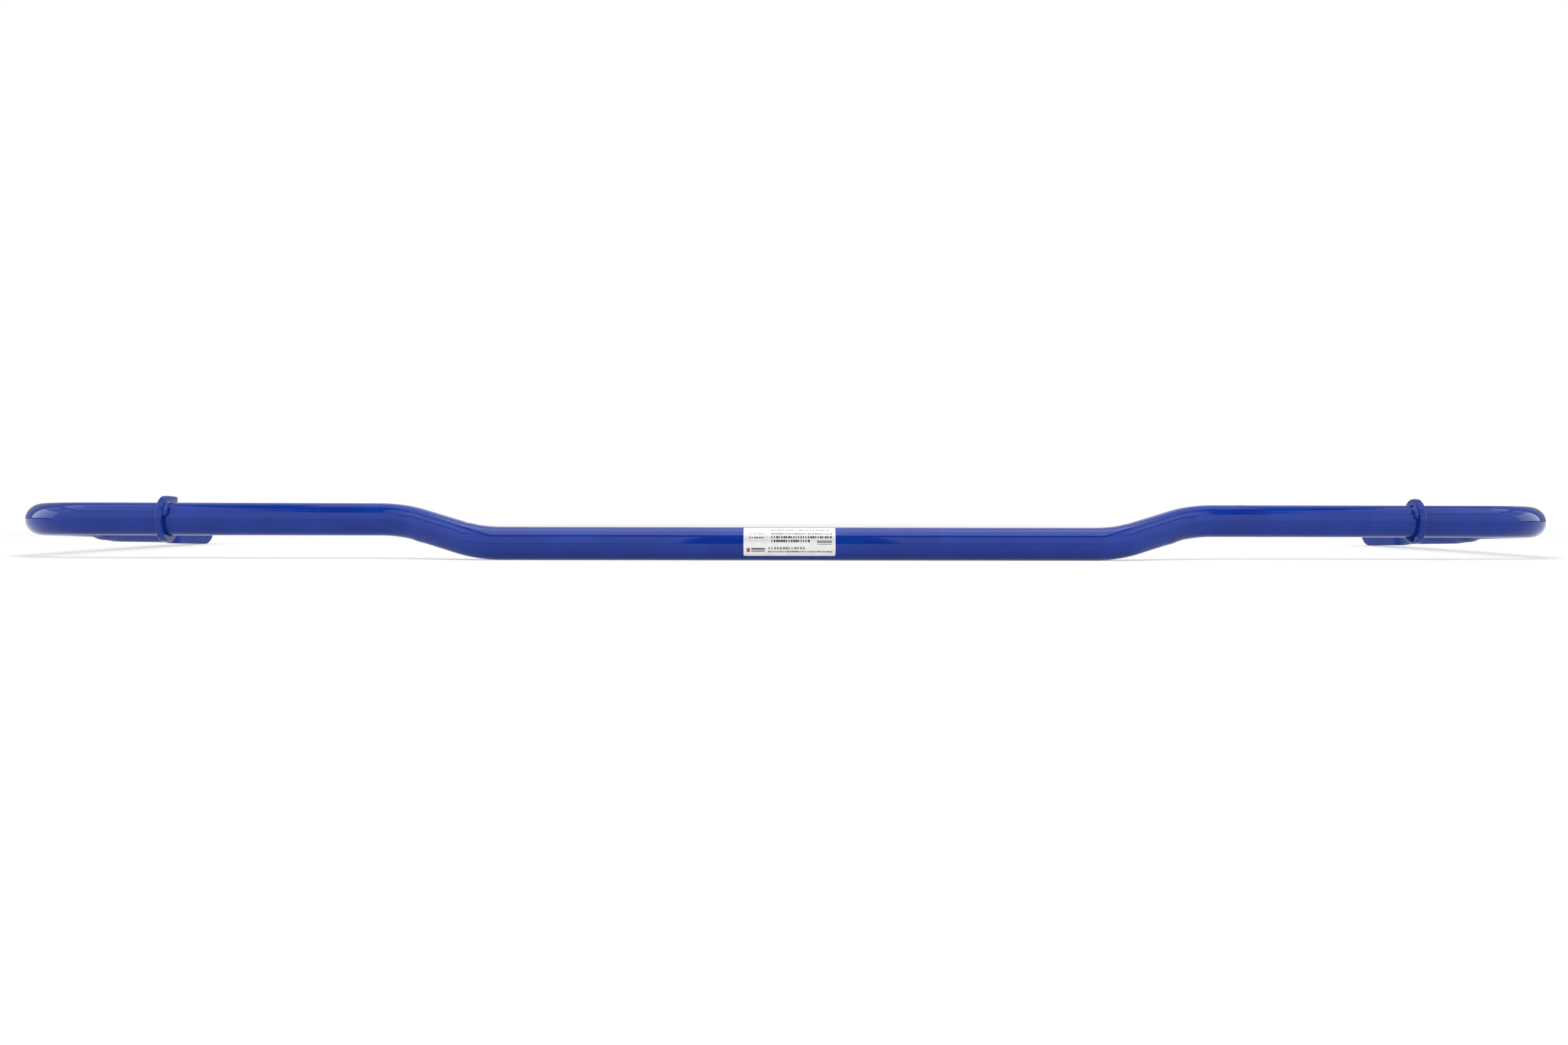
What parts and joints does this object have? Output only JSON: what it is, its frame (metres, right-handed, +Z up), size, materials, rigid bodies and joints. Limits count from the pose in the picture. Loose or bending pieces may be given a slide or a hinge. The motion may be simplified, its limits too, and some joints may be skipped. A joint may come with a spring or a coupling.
{
  "type": "sway bar",
  "caption": "Solid bent sway bar with an offset centre section, arms with forged flat eyes drilled for end links, and split stop rings tacked on beside the bush seats.",
  "frame": {"origin": "the middle of the floor area that the bar covers, at floor level, with the bar lying on its centre section and its two arm ends", "axes": "+X along the bar to its right end, +Y back along the arms, +Z up"},
  "size_m": [1.073, 0.3779, 0.0418],
  "materials": {
    "bar_paint": "glossy royal-blue paint over forged spring steel",
    "ring_paint": "the same glossy blue paint, over a bent steel band",
    "weld_paint": "blue paint over rough weld metal",
    "label_film": "glossy white film with plain grey and dark printed bars"
  },
  "bodies": {
    "root": {"bar": "bar_paint", "left_stop_ring": "ring_paint", "right_stop_ring": "ring_paint", "left_front_weld": "weld_paint", "left_rear_weld": "weld_paint", "right_front_weld": "weld_paint", "right_rear_weld": "weld_paint", "label": "label_film"}
  },
  "joints": []
}
